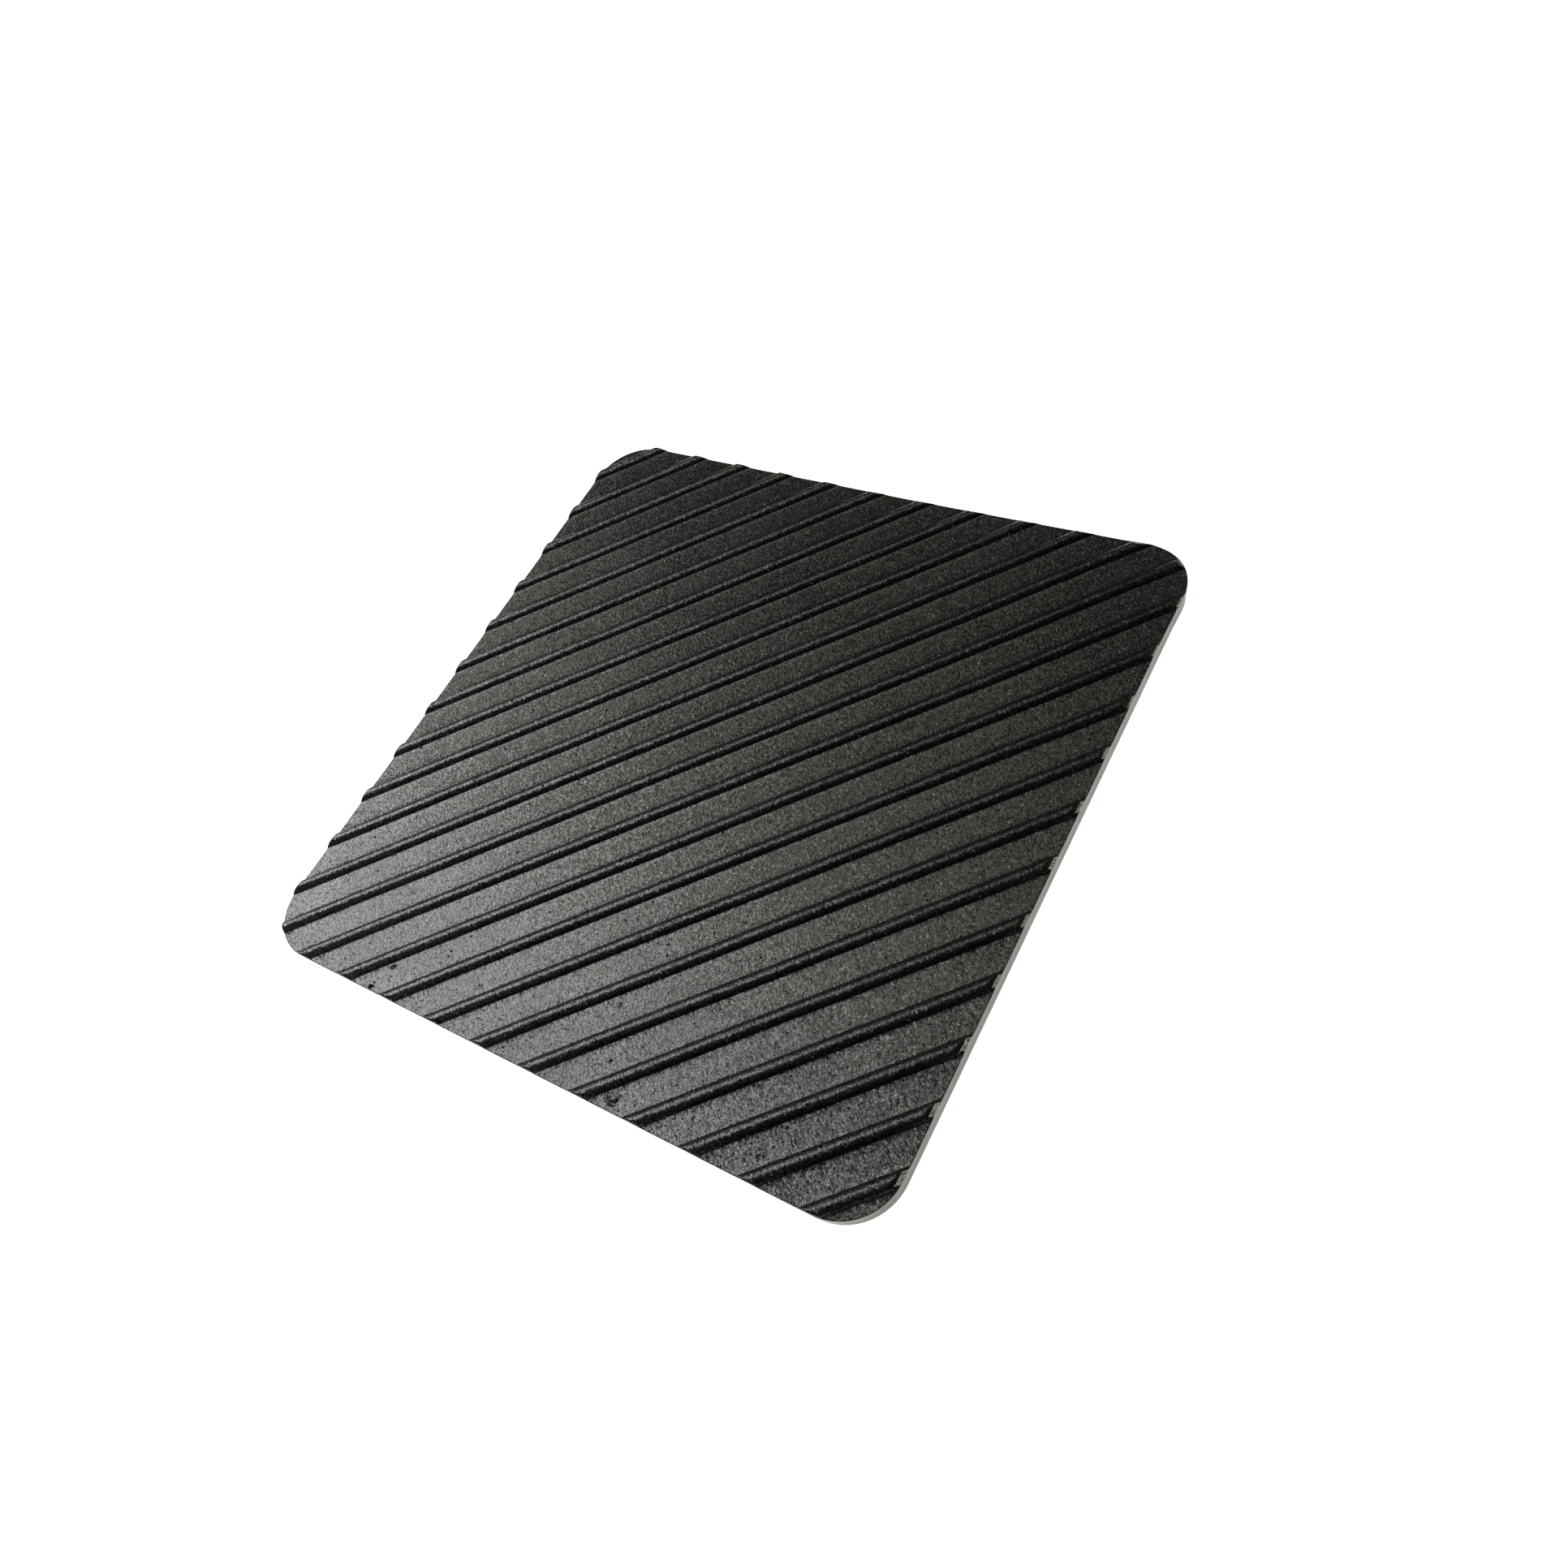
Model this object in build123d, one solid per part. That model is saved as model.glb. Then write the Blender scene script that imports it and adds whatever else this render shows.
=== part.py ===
from build123d import *
import os

# A square self-adhesive stomp pad: a ribbed rubber sheet on double-coated tape, with its release
# liner still on. It lies on the liner, ribs up. The origin is the middle of the underside, +X and
# +Y run along two sides, and the ribs run along the diagonal between them.

# Outline, in mm
side = 101.6                 # a four-inch square
corner_radius = 8.0

# Ribbed rubber sheet
sheet_thickness = 3.175      # over the ribs, an eighth of an inch
rib_height = 0.625           # above the land between the ribs
rib_pitch = 6.0              # centre to centre, square to the ribs
crest_radius = 1.1           # round top and flanks of a rib
root_radius = 0.15           # fillet where a rib meets the land
ribs_each_side = 11          # on each side of the middle rib, which lies on the diagonal

# Layers under the rubber
adhesive_thickness = 0.075
carrier_thickness = 0.05
liner_thickness = 0.1
slit_width = 0.2             # knife cut that parts the liner into halves

# Heights of the layers' undersides, from the liner up
lower_adhesive_bottom = liner_thickness
carrier_bottom = lower_adhesive_bottom + adhesive_thickness
upper_adhesive_bottom = carrier_bottom + carrier_thickness
rubber_bottom = upper_adhesive_bottom + adhesive_thickness

# Across the ribs, along them, and the length that covers the square from corner to corner
across_ribs = Vector(1, -1, 0).normalized()
against_ribs = Vector(-1, -1, 0).normalized()
sheet_length = side * 2 ** 0.5


def pad_outline():
    """The die-cut outline that every layer shares."""
    return RectangleRounded(side, side, corner_radius)


def layer(bottom, thickness):
    """A flat layer of the pad's outline, with its underside at the given height."""
    return Pos(0, 0, bottom) * extrude(pad_outline(), amount=thickness)


def sheet_section():
    """Cross-section of the ribbed sheet, its underside on the sketch's X axis."""
    land_height = sheet_thickness - rib_height
    crest_centre_height = sheet_thickness - crest_radius
    web = Pos(0, land_height / 2) * Rectangle(sheet_length, land_height)
    rib_numbers = range(-ribs_each_side, ribs_each_side + 1)
    ribs = [Pos(number * rib_pitch, crest_centre_height) * Circle(crest_radius) for number in rib_numbers]
    section = web + ribs
    land_corners = section.vertices().group_by(Axis.Y)[-1].sort_by(Axis.X)
    roots = land_corners[1:-1]
    return fillet(roots, root_radius)


def ribbed_rubber():
    """The ribbed sheet, run out along the diagonal and die-cut to the pad's outline."""
    section_plane = Plane(origin=(0, 0, rubber_bottom), x_dir=across_ribs, z_dir=against_ribs)
    sheet = extrude(section_plane * sheet_section(), amount=sheet_length / 2, both=True)
    return sheet & layer(rubber_bottom, sheet_thickness + rib_height)


def liner_halves():
    """The release liner's two halves, left (-X) first, parted by the slit down the middle."""
    slit = Rectangle(slit_width, side)
    halves = (pad_outline() - slit).faces().sort_by(Axis.X)
    return [extrude(half, amount=liner_thickness) for half in halves]


liner_half_left, liner_half_right = liner_halves()
nodes = {
    "tread_pad": ribbed_rubber(),
    "upper_adhesive": layer(upper_adhesive_bottom, adhesive_thickness),
    "tape_carrier": layer(carrier_bottom, carrier_thickness),
    "lower_adhesive": layer(lower_adhesive_bottom, adhesive_thickness),
    "liner_half_left": liner_half_left,
    "liner_half_right": liner_half_right,
}

os.makedirs("parts", exist_ok=True)
for name, shape in nodes.items():
    export_step(shape, f"parts/{name}.step")
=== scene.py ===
import math

import bmesh
import bpy
import numpy as np
from mathutils import Matrix, Vector, noise


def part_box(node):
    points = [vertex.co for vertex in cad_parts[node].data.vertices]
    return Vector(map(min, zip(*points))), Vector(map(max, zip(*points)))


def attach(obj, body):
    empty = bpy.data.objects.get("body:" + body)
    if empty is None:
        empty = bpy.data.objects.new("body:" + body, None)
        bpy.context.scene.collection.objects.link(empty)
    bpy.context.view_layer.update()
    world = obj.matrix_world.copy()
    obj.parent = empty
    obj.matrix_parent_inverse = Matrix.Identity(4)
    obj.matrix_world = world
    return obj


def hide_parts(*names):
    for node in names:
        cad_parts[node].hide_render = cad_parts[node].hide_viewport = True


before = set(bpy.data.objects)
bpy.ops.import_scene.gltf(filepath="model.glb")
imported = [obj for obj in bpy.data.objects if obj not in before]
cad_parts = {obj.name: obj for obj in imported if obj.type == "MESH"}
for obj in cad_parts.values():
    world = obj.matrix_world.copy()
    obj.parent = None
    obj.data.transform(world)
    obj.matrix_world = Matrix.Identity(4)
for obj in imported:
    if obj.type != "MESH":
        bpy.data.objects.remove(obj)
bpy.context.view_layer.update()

# ---------------------------------------------------------------- sizes, in metres

MM = 0.001
ROOT_2 = math.sqrt(2)

rubber_low, rubber_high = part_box("tread_pad")
SIDE = rubber_high.x - rubber_low.x
CORNER = 8 * MM                 # corner radius of the outline
STRAIGHT = SIDE / 2 - CORNER    # from the middle to where a corner's arc begins
SLIT = 0.2 * MM                 # knife cut between the liner's halves

RIB_PITCH = 6 * MM
RIB_HEIGHT = 0.625 * MM
CREST_RADIUS = 1.1 * MM
ROOT_RADIUS = 0.15 * MM
RIBS_EACH_SIDE = 11
SKIRT = 0.04 * MM               # slight swelling of the land along each rib
SKIRT_REACH = 0.65 * MM         # and how far it reaches from the rib's foot
LAND_Z = rubber_high.z - RIB_HEIGHT

# across a rib, from its middle: where the round crest gives way to the root, and where that ends
ROOT_RISE = ROOT_RADIUS + CREST_RADIUS - RIB_HEIGHT
FOOT = math.sqrt((CREST_RADIUS + ROOT_RADIUS) ** 2 - ROOT_RISE ** 2)
SHOULDER = FOOT * CREST_RADIUS / (CREST_RADIUS + ROOT_RADIUS)

# the unevenness of moulded rubber
RIB_SWAY = 0.06 * MM            # how far a rib wavers to each side
RIB_UNEVEN = 0.06               # share of its height by which a rib varies
LAND_WAVE = 0.02 * MM

# the rim, and the die-cut wall under it
RIM = 0.07 * MM                 # rounding where the land meets the cut wall
RIB_END = 0.38 * MM             # rounding where a rib's crest meets it
TORN_LEAST = 0.25 * MM          # how far in the torn slope at a rib's far end reaches, on the -X side
TORN_MOST = 0.85 * MM           # and on the +X side
CUT_HOLLOW = 0.03 * MM          # how far the wall is drawn in at its middle
CUT_DRAG = 0.02 * MM            # depth of the die's drag lines
CUT_RINGS = (                   # share of the wall's height from the top, share of the hollow there
    (0.04, 0.0), (0.2, 0.6), (0.5, 1.0), (0.8, 0.6), (0.97, 0.1), (1.0, 0.0),
)
CUT_BOW = 0.38 * MM             # how far the +Y side bows out
CORNER_SWELL = (0.42 * MM, 0.3 * MM)    # how far the +X +Y corner swells, in x and y

# the tread's mesh: rows of vertices near each end of a rib, at these distances in from the wall,
# and rows spread evenly between them
EDGE_ROWS = (0.0, 0.3 * RIM, RIM) + tuple(
    step * MM for step in (0.14, 0.24, 0.38, 0.52, 0.66, 0.8, 0.95, 1.15)
)
INNER_ROWS = 84
GRAINED, CUT, TORN_AND_HIGHLIGHT = 0, 1, 2    # material indices

# the diamond frame: u across the ribs, w along them
CORNER_CENTRE = STRAIGHT * ROOT_2
TIP = CORNER_CENTRE + CORNER

# moulding flaws on the top: x, y, radius, depth, and whether the pit is a crescent
FLAWS = [
    (-27.3 * MM, -46.6 * MM, 0.26 * MM, 0.28 * MM, False),
    (-28.7 * MM, -50.3 * MM, 0.26 * MM, 0.30 * MM, False),
    (13.4 * MM, -49.0 * MM, 1.0 * MM, 0.20 * MM, True),
    (-12.9 * MM, -43.7 * MM, 0.30 * MM, 0.16 * MM, True),
    (-15.2 * MM, -50.2 * MM, 0.30 * MM, 0.28 * MM, False),
    (38.1 * MM, -47.8 * MM, 0.24 * MM, 0.14 * MM, False),
    (34.1 * MM, -47.6 * MM, 0.20 * MM, 0.12 * MM, False),
    (35.6 * MM, -43.3 * MM, 0.18 * MM, 0.12 * MM, False),
    (7.3 * MM, -38.0 * MM, 0.55 * MM, 0.12 * MM, True),
]
CRESCENT_SIDE = Vector((0.5, -0.87))    # the side on which a crescent is deepest


# ---------------------------------------------------------------- mesh helpers

def to_xy(u, w):
    """Diamond-frame coordinates as the part's x and y."""
    return (u + w) / ROOT_2, (w - u) / ROOT_2


def smooth_step(low, high, value):
    """From 0 to 1 as the value goes from low to high, easing in and out."""
    share = np.clip((value - low) / (high - low), 0, 1)
    return share * share * (3 - 2 * share)


def wander(points, wavelength, seed):
    """Smooth noise from -1 to 1 at each (a, b) point, with features about a wavelength long."""
    return np.array([noise.noise(Vector((a / wavelength, b / wavelength, seed))) for a, b in points])


def grid_quads(grid):
    """Four-cornered faces between the neighbours in a grid of vertex numbers."""
    corners = (grid[:-1, :-1], grid[1:, :-1], grid[1:, 1:], grid[:-1, 1:])
    return np.stack([corner.ravel() for corner in corners], axis=1)


def loop_length(ring):
    """Distance along a ring of points, from its first."""
    steps = np.linalg.norm(np.diff(ring[:, :2], axis=0), axis=1)
    return np.concatenate([[0.0], np.cumsum(steps)])


def clean_up(mesh, reshape=None):
    """Merges doubled vertices, turns the faces outward, reshapes and shades them."""
    shape = bmesh.new()
    shape.from_mesh(mesh)
    bmesh.ops.remove_doubles(shape, verts=shape.verts, dist=0.001 * MM)
    bmesh.ops.recalc_face_normals(shape, faces=shape.faces)
    if reshape:
        reshape(shape)
    for face in shape.faces:
        face.smooth = True
    shape.to_mesh(mesh)
    shape.free()
    mesh.set_sharp_from_angle(angle=math.radians(50))


def mesh_piece(name, build, materials, body, stands_for, reshape=None):
    """A piece from its vertices, faces and material indices, riding on a body in place of a CAD node."""
    vertices, faces, kinds = build
    mesh = bpy.data.meshes.new(name)
    mesh.from_pydata([tuple(v) for v in vertices], [], faces)
    for material in materials:
        mesh.materials.append(material)
    mesh.polygons.foreach_set("material_index", kinds)
    clean_up(mesh, reshape)
    piece = bpy.data.objects.new(name, mesh)
    bpy.context.scene.collection.objects.link(piece)
    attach(piece, body)
    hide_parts(stands_for)


# ---------------------------------------------------------------- the ribbed rubber: outline and ribs

def half_length(u, inset):
    """Half the outline's length along the ribs at u, with the outline moved in by inset."""
    across = abs(u)
    radius = CORNER - inset
    if across < radius / ROOT_2:
        return CORNER_CENTRE + math.sqrt(radius ** 2 - across ** 2)
    if across > CORNER_CENTRE + radius / ROOT_2:
        return math.sqrt(max(radius ** 2 - (across - CORNER_CENTRE) ** 2, 0.0))
    return (SIDE / 2 - inset) * ROOT_2 - across


def edge_distance(x, y):
    """How far points inside the outline are from it."""
    over_x = np.abs(x) - STRAIGHT
    over_y = np.abs(y) - STRAIGHT
    outside = np.hypot(np.maximum(over_x, 0), np.maximum(over_y, 0))
    inside = np.minimum(np.maximum(over_x, over_y), 0)
    return CORNER - outside - inside


def rib_columns():
    """The u of every column of vertices: close over each rib, wide on the lands, arcs at the tips."""
    crest = np.array([0, 0.2, 0.38, 0.54, 0.68, 0.8, 0.91, 1.0]) * SHOULDER
    root = SHOULDER + np.array([0.5, 1.0]) * (FOOT - SHOULDER)
    skirt = FOOT + np.array([0.25, 0.55, 1.0]) * SKIRT_REACH
    land = np.array([0.4, 0.5]) * RIB_PITCH
    one_side = np.concatenate([crest, root, skirt, land])
    offsets = np.concatenate([-one_side[::-1], one_side])
    ribs = np.arange(-RIBS_EACH_SIDE, RIBS_EACH_SIDE + 1) * RIB_PITCH
    tip_angles = np.radians(np.arange(0, 48, 3))
    tips = CORNER_CENTRE + CORNER * np.cos(tip_angles)
    columns = np.concatenate([(ribs[:, None] + offsets[None, :]).ravel(), tips, -tips])
    columns = np.unique(np.round(columns[np.abs(columns) <= TIP + 1e-9], 7))
    least_gap = 0.02 * MM
    gaps = np.diff(columns, prepend=-1)
    return columns[(gaps > least_gap) | (np.abs(columns) > TIP - least_gap)]


def rib_number(u):
    """The number of the rib nearest to u, the middle one being 0."""
    return np.clip(np.round(u / RIB_PITCH), -RIBS_EACH_SIDE, RIBS_EACH_SIDE)


def along_rib(u, w):
    """Noise coordinates that follow each rib, and differ from rib to rib."""
    return np.stack([rib_number(u) * 50 * MM, w], axis=1)


def rib_sway(u, w):
    """How far a rib and the land beside it lean to one side, for the waver of a moulded rib."""
    off = np.abs(u - rib_number(u) * RIB_PITCH) / (RIB_PITCH / 2)
    hold = 1 - np.clip((off - 0.4) / 0.6, 0, 1)
    return RIB_SWAY * wander(along_rib(u, w), 16 * MM, 3.1) * hold * (np.abs(u) < CORNER_CENTRE)


def rib_height(u, w):
    """Height of the ribs over the land, with the slight unevenness of moulded rubber."""
    off = np.abs(u - rib_number(u) * RIB_PITCH)
    crest = RIB_HEIGHT - CREST_RADIUS + np.sqrt(np.maximum(CREST_RADIUS ** 2 - off ** 2, 0))
    root = ROOT_RADIUS - np.sqrt(np.maximum(ROOT_RADIUS ** 2 - (FOOT - off) ** 2, 0))
    height = np.select([off < SHOULDER, off < FOOT], [crest, root], 0.0)
    skirt = SKIRT * np.clip(1 - (off - FOOT) / SKIRT_REACH, 0, 1) ** 1.5
    uneven = 1 + RIB_UNEVEN * wander(along_rib(u, w), 9 * MM, 7.7)
    return height * uneven * (1 - SKIRT / RIB_HEIGHT) + np.minimum(skirt, SKIRT)


def rim_drop(distance, height):
    """How far the rounded rim has fallen at a distance in from the wall, where a rib is so high."""
    radius = RIM + (RIB_END - RIM) * np.clip(height / RIB_HEIGHT, 0, 1)
    into = np.clip(radius - distance, 0, radius)
    return radius - np.sqrt(radius ** 2 - into ** 2)


# ---------------------------------------------------------------- the ribbed rubber: torn ends and flaws

def torn_slope(x, y, distance):
    """Most height a rib may have near its far end, where the die dragged the rubber down as it cut."""
    place = np.stack([x, y], axis=1)
    run = TORN_LEAST + (TORN_MOST - TORN_LEAST) * smooth_step(-25 * MM, 20 * MM, x)
    run = run * (1 + 0.35 * wander(place, 5 * MM, 6.4))
    ragged = 0.07 * MM * wander(place, 0.25 * MM, 8.8)
    slope = RIB_HEIGHT * (0.10 + 0.90 * distance / run) + ragged
    no_limit = 1.0
    return np.where(x + y > 0, slope, no_limit)


def torn_and_highlight_spots(x, y, distance, ribs, slope):
    """Which vertices get the pale torn material, a painted highlight: the upper parts of torn rib ends,
    reaching farthest on the +X side, and spots along the +X side's rim.
    """
    # Painted highlight: pale spots along the +X side's rim, and pale tops on the torn rib ends, reaching
    # farthest on the +X side.
    rim_highlight_cells = wander(np.stack([x, y], axis=1), 0.8 * MM, 4.6) > 0.42
    rim_highlights = rim_highlight_cells & (distance < 1.5 * RIM) & (x > SIDE / 4)
    shrinking = 0.62 - 0.22 * smooth_step(-30 * MM, 45 * MM, y)
    highlight_reach = np.where(x > y, TORN_MOST * shrinking, 0.12 * MM)
    ends = (ribs > slope) & (ribs > 0.6 * RIB_HEIGHT) & (distance < highlight_reach)
    return ends | rim_highlights


def flaw_press(out, radius, crescent):
    """Share of a flaw's depth at an offset out from its middle."""
    reach = out.length / radius
    if not crescent:
        return math.exp(-(reach ** 4))
    if not out.length:
        return 0
    ring = math.exp(-((reach - 0.75) / 0.3) ** 2)
    return ring * max(0.0, 0.35 + 0.65 * out.normalized().dot(CRESCENT_SIDE))


def dent_flaws(shape):
    """Splits the top's faces round each moulding flaw and presses its pit or crescent into them."""
    lowest = LAND_Z - RIM
    for x, y, radius, depth, crescent in FLAWS:
        centre = Vector((x, y))
        near = [
            edge for edge in shape.edges
            if all(v.co.z > lowest for v in edge.verts)
            and min((v.co.xy - centre).length for v in edge.verts) < radius + 1.2 * MM
        ]
        bmesh.ops.subdivide_edges(shape, edges=near, cuts=3, use_grid_fill=True)
        for vertex in shape.verts:
            if vertex.co.z >= lowest:
                vertex.co.z -= depth * flaw_press(vertex.co.xy - centre, radius, crescent)


# ---------------------------------------------------------------- the ribbed rubber: whole mesh

def tread_rows(columns):
    """The w of every vertex of the top, a row for each column: close near the wall, even between."""
    inner = np.linspace(-1, 1, INNER_ROWS)[1:-1]
    rows = []
    for u in columns:
        ends = [half_length(u, inset) for inset in EDGE_ROWS]
        rows.append([-end for end in ends] + [share * ends[-1] for share in inner] + ends[::-1])
    return np.array(rows)


def swayed_place(u, w):
    """The x and y of the top's vertices once the ribs have wavered, still filling the outline."""
    swayed = u + rib_sway(u, w)
    reach = np.array([half_length(a, 0) / max(half_length(b, 0), 1e-6) for a, b in zip(swayed, u)])
    return to_xy(swayed, np.where(np.abs(u) < CORNER_CENTRE, w * reach, w))


def tread_top(columns):
    """The top's vertices, column by column, and which of them get the pale torn material, a painted
    highlight.
    """
    rows = tread_rows(columns)
    u = np.repeat(columns, rows.shape[1])
    w = rows.ravel()
    x, y = swayed_place(u, w)
    ribs = rib_height(u, w)
    distance = edge_distance(x, y)
    slope = torn_slope(x, y, distance)
    torn = torn_and_highlight_spots(x, y, distance, ribs, slope)
    ribs = np.minimum(ribs, np.maximum(slope, 0))
    z = LAND_Z + ribs - rim_drop(distance, ribs)
    z += LAND_WAVE * wander(np.stack([x, y], axis=1), 11 * MM, 1.3)
    return np.stack([x, y, z], axis=1), torn


def cut_ring(rim, share, hollow):
    """The rim's loop let down by a share of the wall's height, and drawn in by the cut's hollow."""
    outward = rim[:, :2] - np.clip(rim[:, :2], -STRAIGHT, STRAIGHT)
    outward /= np.maximum(np.linalg.norm(outward, axis=1, keepdims=True), 1e-9)
    ring = rim.copy()
    ring[:, 2] += share * (rubber_low.z - ring[:, 2])
    drag = CUT_DRAG * wander(np.stack([loop_length(ring), ring[:, 2]], axis=1), 6 * MM, 5.5)
    drawn_in = hollow * CUT_HOLLOW + (0 < share < 1) * drag
    ring[:, :2] -= outward * drawn_in[:, None]
    return ring


def uneven_cut(points):
    """The die's cut isn't quite square: it bows out along the +Y side and round the +X +Y corner."""
    x, y = points[:, 0], points[:, 1]
    bow = smooth_step(5 * MM, 42 * MM, x) * smooth_step(20 * MM, 50 * MM, y)
    corner = SIDE / 2 - CORNER * (1 - 1 / ROOT_2)
    swell = np.exp(-((x - corner) ** 2 + (y - corner) ** 2) / (7 * MM) ** 2)
    moved = points.copy()
    moved[:, 0] += CORNER_SWELL[0] * swell
    moved[:, 1] += CUT_BOW * bow + CORNER_SWELL[1] * swell
    return moved


def tread_mesh():
    """Vertices, faces and material indices of the ribbed sheet: top, cut wall and underside."""
    columns = rib_columns()
    top, torn = tread_top(columns)
    across = len(columns)
    grid = np.arange(len(top)).reshape(across, -1)
    quads = grid_quads(grid)
    vertices = [top]
    faces = quads.tolist()
    # faces on the painted-highlight spots get the pale torn material
    kinds = np.where(torn[quads].sum(axis=1) >= 3, TORN_AND_HIGHLIGHT, GRAINED).tolist()

    loop = np.concatenate([grid[:, -1], grid[::-1, 0]])
    above = loop
    count = len(top)
    for share, hollow in CUT_RINGS:
        vertices.append(cut_ring(top[loop], share, hollow))
        below = count + np.arange(len(loop))
        count += len(loop)
        strip = np.stack([above, np.roll(above, -1), np.roll(below, -1), below], axis=1)
        faces += strip.tolist()
        kinds += [CUT] * len(strip)
        above = below

    far_side, near_side = above[:across], above[across:][::-1]
    underside = np.stack([far_side[:-1], far_side[1:], near_side[1:], near_side[:-1]], axis=1)
    faces += underside.tolist()
    kinds += [CUT] * len(underside)
    return uneven_cut(np.concatenate(vertices)), faces, kinds


# ---------------------------------------------------------------- the release liner

def liner_columns():
    """The x of every column of a liner half's vertices, and how far the outline reaches in y there."""
    straight = np.linspace(SLIT / 2, STRAIGHT, 26)
    arc = STRAIGHT + CORNER * np.sin(np.radians(np.linspace(0, 90, 16)))
    columns = np.unique(np.round(np.concatenate([straight, arc]), 8))
    over = np.maximum(columns - STRAIGHT, 0)
    return columns, STRAIGHT + np.sqrt(np.maximum(CORNER ** 2 - over ** 2, 0))


def liner_mesh(low, high, outer):
    """Half a liner, lying flat, outer being -1 for the left half and 1 for the right."""
    columns, reach = liner_columns()
    shares = np.linspace(-1, 1, 61)
    x = np.repeat(columns, len(shares)) * outer
    y = (reach[:, None] * shares[None, :]).ravel()
    ripple = np.abs(0.006 * MM * wander(np.stack([x, y], axis=1), 7 * MM, 2.2 + outer))
    lower = np.stack([x, y, low.z + ripple], axis=1)
    upper = np.stack([x, y, high.z - ripple], axis=1)

    count = len(x)
    grid = np.arange(count).reshape(len(columns), len(shares))
    quads = grid_quads(grid)
    loop = np.concatenate([grid[:, -1], grid[-1, ::-1][1:], grid[::-1, 0][1:], grid[0, 1:-1]])
    edge = np.stack([loop, np.roll(loop, -1), np.roll(loop, -1) + count, loop + count], axis=1)
    faces = quads.tolist() + (quads[:, ::-1] + count).tolist() + edge.tolist()
    back, face, cut_edge = 0, 1, 2
    kinds = [back] * len(quads) + [face] * len(quads) + [cut_edge] * len(edge)
    return np.concatenate([lower, upper]), faces, kinds


# ---------------------------------------------------------------- materials

class Nodes:
    """Short calls to lay out a node material."""

    def __init__(self, name):
        self.material = bpy.data.materials.new(name)
        self.material.use_nodes = True
        self.tree = self.material.node_tree
        self.shader = self.tree.nodes["Principled BSDF"]
        self.place = self.tree.nodes.new("ShaderNodeTexCoord").outputs["Object"]

    def new(self, kind, **settings):
        node = self.tree.nodes.new(kind)
        for key, value in settings.items():
            setattr(node, key, value)
        return node

    def link(self, source, target):
        self.tree.links.new(source, target)

    def stretched(self, scale):
        """Object coordinates multiplied by a scale on each axis."""
        mapping = self.new("ShaderNodeMapping")
        mapping.inputs["Scale"].default_value = scale
        self.link(self.place, mapping.inputs["Vector"])
        return mapping.outputs["Vector"]

    def across_ribs(self, stretch):
        """Object coordinates in which a texture's features come out stretched across the ribs."""
        mapping = self.new("ShaderNodeMapping", vector_type="TEXTURE")
        mapping.inputs["Rotation"].default_value = (0, 0, math.radians(-45))
        mapping.inputs["Scale"].default_value = (stretch, 1, 1)
        self.link(self.place, mapping.inputs["Vector"])
        return mapping.outputs["Vector"]

    def noise(self, size, detail=2.0, roughness=0.5, where=None):
        """Noise with features about size metres across, from 0 to 1."""
        node = self.new("ShaderNodeTexNoise")
        node.inputs["Scale"].default_value = 1 / size
        node.inputs["Detail"].default_value = detail
        node.inputs["Roughness"].default_value = roughness
        self.link(where or self.place, node.inputs["Vector"])
        return node.outputs["Fac"]

    def noise_colour(self, size, detail=2.0, roughness=0.5, where=None):
        """Three independent noises, as a colour."""
        return self.noise(size, detail, roughness, where).node.outputs["Color"]

    def cells(self, size):
        """The outputs of a texture of random cells about size metres across."""
        node = self.new("ShaderNodeTexVoronoi")
        node.inputs["Scale"].default_value = 1 / size
        self.link(self.place, node.inputs["Vector"])
        return node.outputs

    def cell_colour(self, size):
        """A random colour for each of random cells about size metres across."""
        return self.cells(size)["Color"]

    def specks(self, size, share):
        """1 inside a round speck in each chosen cell of a size, and the cells' random colours."""
        cells = self.cells(size)
        near = self.remap(cells["Distance"], 0.14, 0.30, 1, 0)
        chosen = self.remap(cells["Color"], 1 - share, 1.02 - share, 0, 1)
        return self.math("MULTIPLY", near, chosen), cells["Color"]

    def remap(self, value, low, high, to_low, to_high):
        """The value, taken from the range low to high to the range to_low to to_high."""
        node = self.new("ShaderNodeMapRange")
        sockets = ("From Min", "From Max", "To Min", "To Max")
        for socket, number in zip(sockets, (low, high, to_low, to_high)):
            node.inputs[socket].default_value = number
        self.link(value, node.inputs["Value"])
        return node.outputs["Result"]

    def fill(self, socket, value):
        """Links a socket to an output, or sets it to a number or to a colour or vector."""
        if isinstance(value, bpy.types.NodeSocket):
            self.link(value, socket)
        elif isinstance(value, tuple) and socket.type == "RGBA":
            socket.default_value = (*value, 1)
        elif socket.type == "VECTOR":
            socket.default_value = (value,) * 3
        else:
            socket.default_value = value

    def math(self, operation, first, second):
        node = self.new("ShaderNodeMath", operation=operation)
        for socket, value in zip(node.inputs, (first, second)):
            self.fill(socket, value)
        return node.outputs["Value"]

    def vector_math(self, operation, *values):
        """A vector from vectors, a plain number standing for three of it."""
        node = self.new("ShaderNodeVectorMath", operation=operation)
        for socket, value in zip(node.inputs, values):
            self.fill(socket, value)
        return node.outputs["Vector"]

    def blend(self, share, first, second):
        """Colour that goes from first to second with the share."""
        node = self.new("ShaderNodeMix", data_type="RGBA")
        self.link(share, node.inputs["Factor"])
        ends = [socket for socket in node.inputs if socket.type == "RGBA"]
        for socket, value in zip(ends, (first, second)):
            self.fill(socket, value)
        return [socket for socket in node.outputs if socket.type == "RGBA"][0]

    def bump(self, height, distance, strength):
        node = self.new("ShaderNodeBump")
        node.inputs["Distance"].default_value = distance
        node.inputs["Strength"].default_value = strength
        self.link(height, node.inputs["Height"])
        return node.outputs["Normal"]

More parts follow.
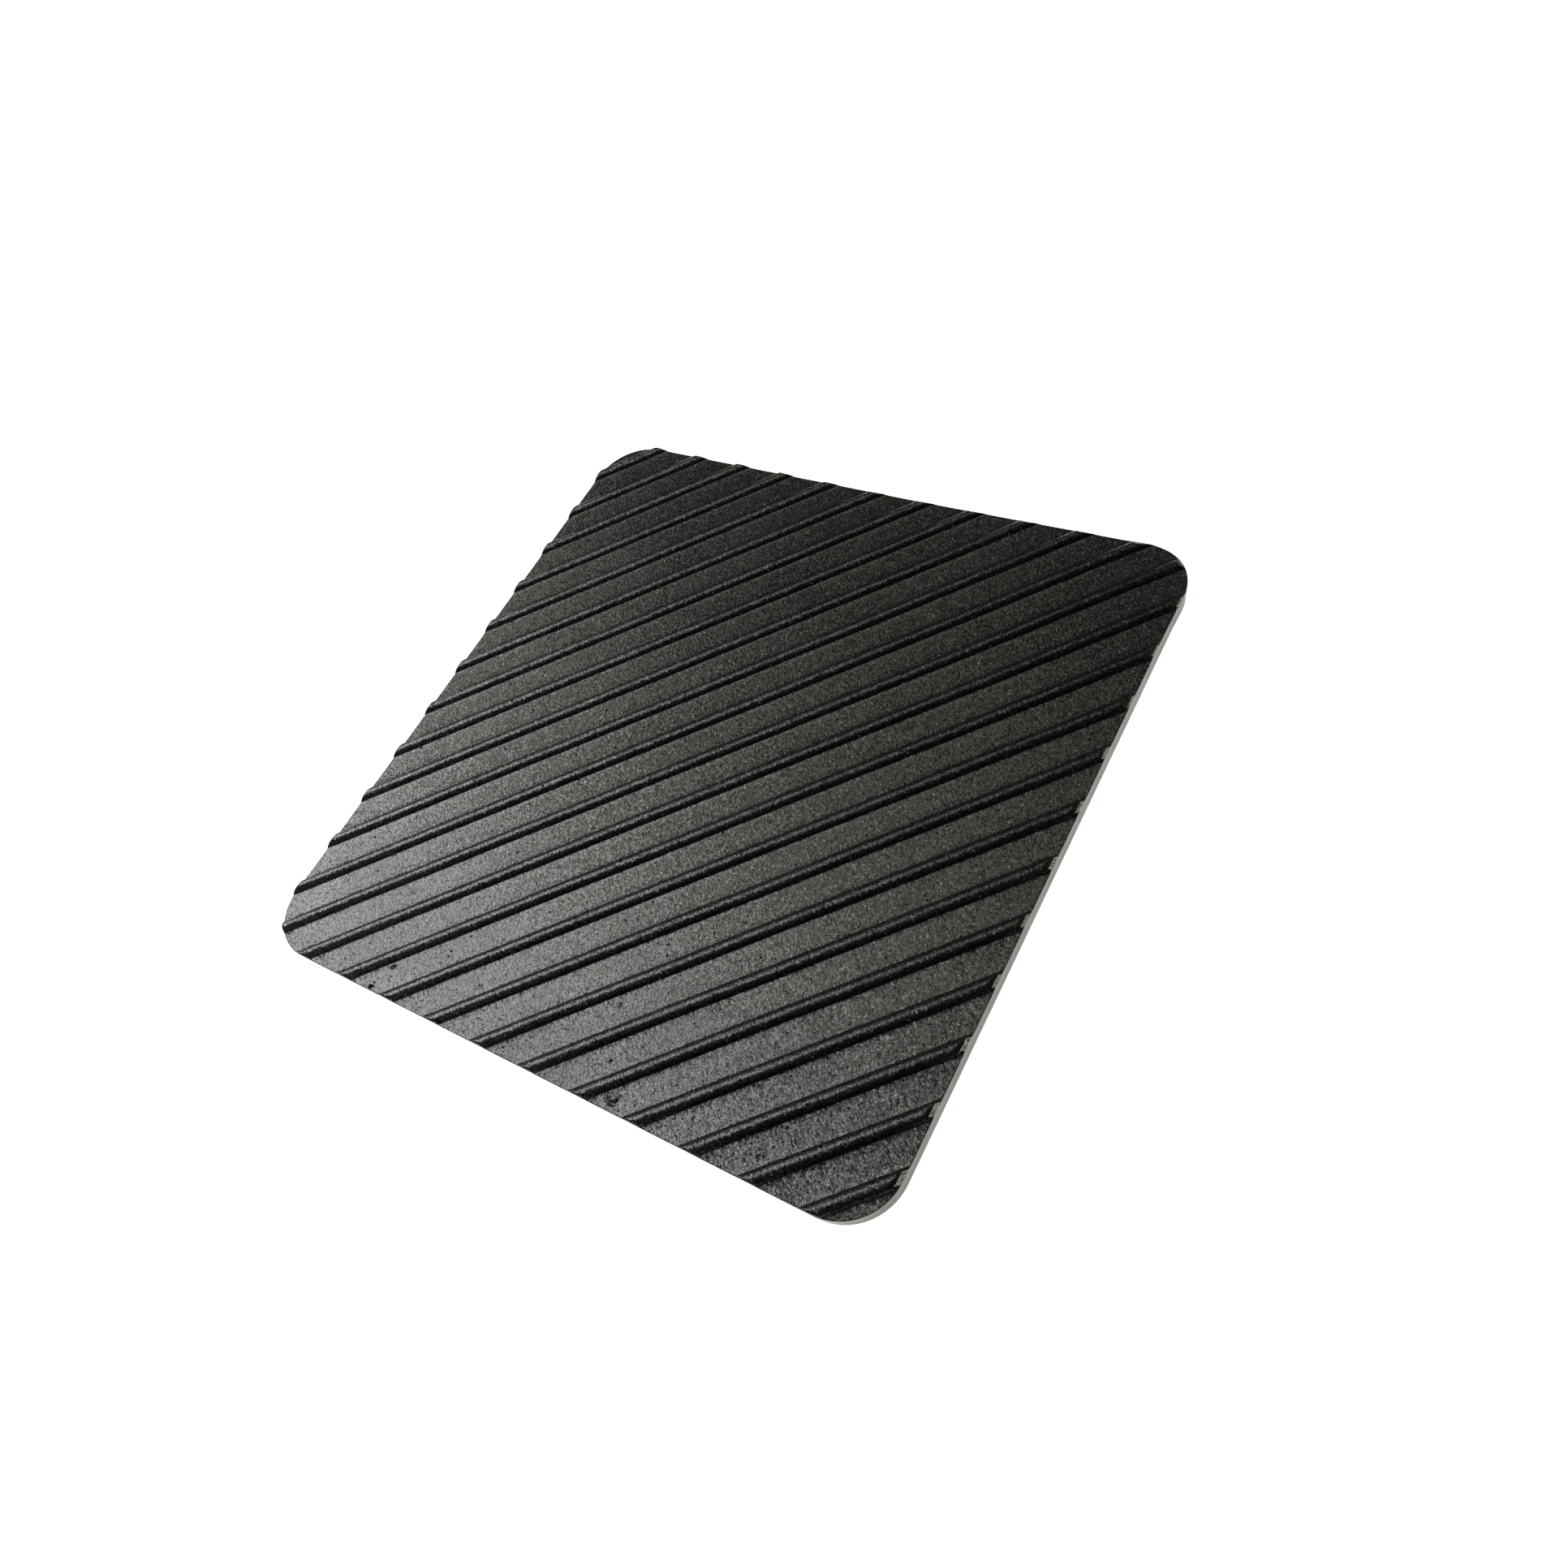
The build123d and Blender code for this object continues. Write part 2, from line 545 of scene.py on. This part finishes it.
    def sharpened(self, colour):
        """A random colour pushed towards 0.5, so that only a few of its values stay far from it."""
        spread = self.vector_math("MULTIPLY_ADD", colour, 2.0, -1.0)
        squared = self.vector_math("MULTIPLY", spread, spread)
        cubed = self.vector_math("MULTIPLY", squared, spread)
        return self.vector_math("MULTIPLY_ADD", cubed, 0.5, 0.5)

    def leaned(self, *leans):
        """The surface normal leaned by (colour, amount) pairs, the colours being random about 0.5."""
        normal = self.new("ShaderNodeNewGeometry").outputs["Normal"]
        for colour, amount in leans:
            push = self.vector_math("MULTIPLY_ADD", colour, amount, -amount / 2)
            normal = self.vector_math("ADD", normal, push)
        return self.vector_math("NORMALIZE", normal)

    def finish(self, **sockets):
        """Sets or links the shader's sockets and returns the material."""
        for name, value in sockets.items():
            self.fill(self.shader.inputs[name.replace("_", " ")], value)
        return self.material


RUBBER_IOR = 1.52


def rubber_grain(n, drawn):
    """The grain as a normal: fine and drawn across the ribs, with sparse tilted pin holes."""
    pinholes, tilts = n.specks(0.75 * MM, 0.11)
    level = (0.5, 0.5, 0.5)
    return n.leaned(
        (n.noise_colour(0.25 * MM, detail=3, roughness=0.7, where=drawn), 0.70),
        (n.sharpened(n.cell_colour(0.19 * MM)), 0.34),
        (n.blend(pinholes, level, tilts), 1.8),
    )


def grained_rubber():
    """Moulded black rubber: fine grain, dusty smudges, pale flecks, and a few paler specks that are
    painted glints.
    """
    black, worn = (0.0022, 0.0028, 0.0022), (0.0055, 0.0062, 0.0052)
    # speck is the tone of the painted glints
    dust, fleck, speck = (0.011, 0.011, 0.010), (0.046, 0.046, 0.042), (0.20, 0.195, 0.18)
    n = Nodes("grained_rubber")
    drawn = n.across_ribs(2.4)
    fine = n.noise(0.24 * MM, detail=3, roughness=0.7, where=drawn)
    patches = n.noise(14 * MM, detail=4, roughness=0.55)
    dusty = n.math("MULTIPLY", n.remap(patches, 0.35, 0.7, 0, 1), 0.35)
    flecks = n.remap(n.cell_colour(0.16 * MM), 0.70, 0.95, 0, 1)
    # painted glints: sparse pale specks standing in for grain facets that catch the light
    specks, _ = n.specks(0.46 * MM, 0.16)
    colour = n.blend(n.remap(fine, 0.35, 0.75, 0, 1), black, worn)
    colour = n.blend(dusty, colour, dust)
    colour = n.blend(flecks, colour, fleck)
    colour = n.blend(specks, colour, speck)
    broad = n.remap(patches, 0.3, 0.7, 0.27, 0.33)
    rough = n.math("ADD", broad, n.remap(fine, 0.35, 0.65, 0.11, -0.09))
    rough = n.math("ADD", rough, n.math("MULTIPLY", specks, 0.35))
    normal = rubber_grain(n, drawn)
    return n.finish(Base_Color=colour, Roughness=rough, Normal=normal, IOR=RUBBER_IOR)


def torn_rubber_and_highlight():
    """Where the die tore the ribs' ends, and spots along the +X side's rim: rough and crumbly, its pale
    tone a painted highlight.
    """
    # the pale end is a painted highlight: a beige far too light for black rubber, standing in for light
    # on these faces
    dark, pale = (0.09, 0.08, 0.065), (0.74, 0.70, 0.61)
    n = Nodes("torn_rubber_and_highlight")
    crumbs = n.cell_colour(0.22 * MM)
    normal = n.leaned((crumbs, 1.1), (n.noise_colour(0.12 * MM, detail=2), 0.8))
    tone = n.noise(0.3 * MM, detail=3, roughness=0.7)
    colour = n.blend(n.remap(tone, 0.35, 0.65, 0, 1), dark, pale)
    rough = n.remap(tone, 0.3, 0.7, 0.42, 0.68)
    return n.finish(Base_Color=colour, Roughness=rough, Normal=normal, IOR=RUBBER_IOR)


def cut_rubber():
    """The die-cut wall: smooth, with faint drag lines down it and a touch of dust; its warm brown tint
    is a painted warm reflection.
    """
    # both tones are warm brown: a painted reflection of a warm floor
    clean, dusty = (0.027, 0.022, 0.016), (0.048, 0.040, 0.031)
    n = Nodes("cut_rubber")
    drag = n.noise(0.5 * MM, detail=2, where=n.stretched((1, 1, 0.08)))
    normal = n.bump(drag, 0.015 * MM, 0.6)
    dust = n.noise(2.5 * MM, detail=3, roughness=0.6)
    colour = n.blend(n.remap(dust, 0.3, 0.7, 0, 1), clean, dusty)
    rough = n.remap(dust, 0.3, 0.7, 0.24, 0.34)
    return n.finish(Base_Color=colour, Roughness=rough, Normal=normal, IOR=RUBBER_IOR)


def liner_paper(name, tone, gloss):
    """Kraft release paper with fibres; gloss is the roughness of its face."""
    darker = tuple(0.78 * channel for channel in tone)
    paler = tuple(1.12 * channel for channel in tone)
    n = Nodes(name)
    fibres = n.noise(0.4 * MM, detail=4, roughness=0.65, where=n.stretched((1, 0.3, 1)))
    flecks = n.noise(1.6 * MM, detail=3, roughness=0.6, where=n.stretched((0.4, 1, 1)))
    clouds = n.noise(18 * MM, detail=3)
    colour = n.blend(n.remap(fibres, 0.3, 0.7, 0, 1), darker, tone)
    colour = n.blend(n.remap(flecks, 0.55, 0.75, 0, 0.6), colour, paler)
    colour = n.blend(n.remap(clouds, 0.3, 0.7, 0, 0.25), colour, darker)
    rough = n.remap(clouds, 0.3, 0.7, gloss - 0.05, gloss + 0.05)
    return n.finish(Base_Color=colour, Roughness=rough, Normal=n.bump(fibres, 0.01 * MM, 0.5))


def adhesive_film():
    """Clear acrylic adhesive gone faintly amber, hazy and dimpled, its brown darkened further as painted
    shade along the pad's foot.
    """
    # both tones are darkened: painted shade where the tape shows at the pad's foot
    amber, haze = (0.16, 0.125, 0.08), (0.24, 0.20, 0.14)
    n = Nodes("adhesive_film")
    dimples = n.noise(0.8 * MM, detail=3, roughness=0.6)
    clouds = n.noise(9 * MM, detail=3)
    colour = n.blend(n.remap(clouds, 0.3, 0.7, 0, 1), amber, haze)
    rough = n.remap(dimples, 0.3, 0.7, 0.16, 0.32)
    return n.finish(Base_Color=colour, Roughness=rough, Normal=n.bump(dimples, 0.02 * MM, 0.5))


def carrier_tissue():
    """The tape's carrier: thin film with a faint crossing weave of fibres."""
    film, fibre = (0.16, 0.14, 0.11), (0.27, 0.245, 0.20)
    n = Nodes("carrier_tissue")
    along = n.noise(0.5 * MM, detail=2, where=n.stretched((1, 0.15, 1)))
    across = n.noise(0.5 * MM, detail=2, where=n.stretched((0.15, 1, 1)))
    weave = n.math("MAXIMUM", along, across)
    colour = n.blend(n.remap(weave, 0.4, 0.8, 0, 1), film, fibre)
    rough = n.remap(weave, 0.4, 0.8, 0.6, 0.45)
    return n.finish(Base_Color=colour, Roughness=rough, Normal=n.bump(weave, 0.01 * MM, 0.5))


def studio_white():
    """The floor: matt white sweep paper, glowing enough to hide the pad's shadow."""
    n = Nodes("studio_white")
    mottle = n.noise(30 * MM, detail=2)
    return n.finish(
        Base_Color=n.blend(mottle, (0.78, 0.76, 0.72), (0.80, 0.78, 0.74)),
        Roughness=0.9,
        Emission_Color=(1.0, 0.985, 0.95),
        Emission_Strength=1.06,
    )


# ---------------------------------------------------------------- pieces

def make_tread():
    materials = [grained_rubber(), cut_rubber(), torn_rubber_and_highlight()]
    mesh_piece(
        "ribbed_tread", tread_mesh(), materials,
        body="pad", stands_for="tread_pad", reshape=dent_flaws,
    )


def make_liner():
    materials = [
        liner_paper("liner_back", (0.42, 0.33, 0.22), 0.62),
        liner_paper("liner_face", (0.50, 0.41, 0.29), 0.34),
        # the cut edges keep the kraft's own brown, darkened further as painted shade along the pad's
        # foot
        liner_paper("liner_edge_painted_shade", (0.20, 0.155, 0.105), 0.75),
    ]
    for side, outer in (("left", -1), ("right", 1)):
        node = "liner_half_" + side
        mesh_piece(
            "liner_paper_" + side, liner_mesh(*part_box(node), outer), materials,
            body="liner_" + side, stands_for=node,
        )


def dress_tape():
    """The tape's layers keep their CAD shape and get their materials."""
    film = adhesive_film()
    for node, material in (
        ("upper_adhesive", film),
        ("tape_carrier", carrier_tissue()),
        ("lower_adhesive", film),
    ):
        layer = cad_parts[node].data
        layer.materials.clear()
        layer.materials.append(material)


# ---------------------------------------------------------------- studio

def make_floor():
    """A plain square a hair under the liner, far wider than the photo's view."""
    half = 20 * SIDE
    z = -0.03 * MM
    corners = [(-half, -half, z), (half, -half, z), (half, half, z), (-half, half, z)]
    mesh = bpy.data.meshes.new("floor")
    mesh.from_pydata(corners, [], [(0, 1, 2, 3)])
    mesh.materials.append(studio_white())
    floor = bpy.data.objects.new("floor", mesh)
    bpy.context.scene.collection.objects.link(floor)


def aimed(place, target):
    """Rotation that turns a light or camera at place, looking down its -Z, to the target."""
    return (Vector(target) - Vector(place)).to_track_quat("-Z", "Y")


def softbox(name, azimuth, elevation, distance, width, height, power, colour):
    """An area light that faces the pad; azimuth is from +X towards +Y, in degrees."""
    a, e = math.radians(azimuth), math.radians(elevation)
    place = distance * Vector((math.cos(a) * math.cos(e), math.sin(a) * math.cos(e), math.sin(e)))
    data = bpy.data.lights.new(name, "AREA")
    data.shape = "RECTANGLE"
    data.size = width
    data.size_y = height
    data.energy = power
    data.color = colour
    light = bpy.data.objects.new(name, data)
    light.location = place
    light.rotation_mode = "QUATERNION"
    light.rotation_quaternion = aimed(place, (0, 0, 0))
    bpy.context.scene.collection.objects.link(light)


def make_lights():
    """The first four are mirrored by the lands, each in its own region; the fills lift the rest."""
    softbox("key", 181, 46, 0.9, 0.24, 0.74, 5.1, (1.0, 1.0, 0.97))
    softbox("far_panel", 138, 63, 1.2, 0.80, 0.52, 2.0, (0.95, 1.0, 0.85))
    softbox("side_panel", 158, 35, 1.2, 0.32, 0.28, 0.8, (0.97, 1.0, 0.90))
    softbox("near_panel", 170, 73, 1.2, 0.40, 0.32, 0.66, (0.97, 1.0, 0.96))
    softbox("front_fill", 257, 35, 1.0, 0.44, 0.50, 0.40, (0.97, 0.99, 1.0))
    softbox("right_fill", 65, 25, 1.2, 1.40, 0.50, 0.6, (0.97, 0.99, 1.0))


def backdrop(shader, colour, strength):
    """Sets a background shader and returns its output."""
    shader.inputs["Color"].default_value = (*colour, 1)
    shader.inputs["Strength"].default_value = strength
    return shader.outputs["Background"]


def make_world():
    """White where the camera sees past the floor, and almost dark to everything else."""
    world = bpy.data.worlds.new("studio")
    bpy.context.scene.world = world
    world.use_nodes = True
    tree = world.node_tree
    room = backdrop(tree.nodes["Background"], (0.90, 1.0, 0.72), 0.01)
    sweep = backdrop(tree.nodes.new("ShaderNodeBackground"), (1.0, 1.0, 1.0), 1.0)
    rays = tree.nodes.new("ShaderNodeLightPath")
    pick = tree.nodes.new("ShaderNodeMixShader")
    tree.links.new(rays.outputs["Is Camera Ray"], pick.inputs["Fac"])
    tree.links.new(room, pick.inputs[1])
    tree.links.new(sweep, pick.inputs[2])
    tree.links.new(pick.outputs["Shader"], tree.nodes["World Output"].inputs["Surface"])


def make_camera():
    """A wide lens close above the pad's +X -Y side, turned so that the ribs climb to the right."""
    place = Vector((0.7439 * SIDE, -0.5089 * SIDE, 1.0022 * SIDE + LAND_Z))
    target = Vector((0.3773 * SIDE, -0.2203 * SIDE, LAND_Z))
    roll = Matrix.Rotation(math.radians(-27.3), 4, "Z")
    data = bpy.data.cameras.new("camera")
    data.sensor_width = 36
    data.lens = 21.24
    data.shift_x = -0.0657
    data.shift_y = 0.1266
    data.clip_start = 0.005
    camera = bpy.data.objects.new("camera", data)
    camera.matrix_world = Matrix.Translation(place) @ aimed(place, target).to_matrix().to_4x4() @ roll
    bpy.context.scene.collection.objects.link(camera)
    bpy.context.scene.camera = camera


make_tread()
make_liner()
dress_tape()
make_floor()
make_lights()
make_world()
make_camera()
bpy.context.scene.view_settings.view_transform = "Standard"
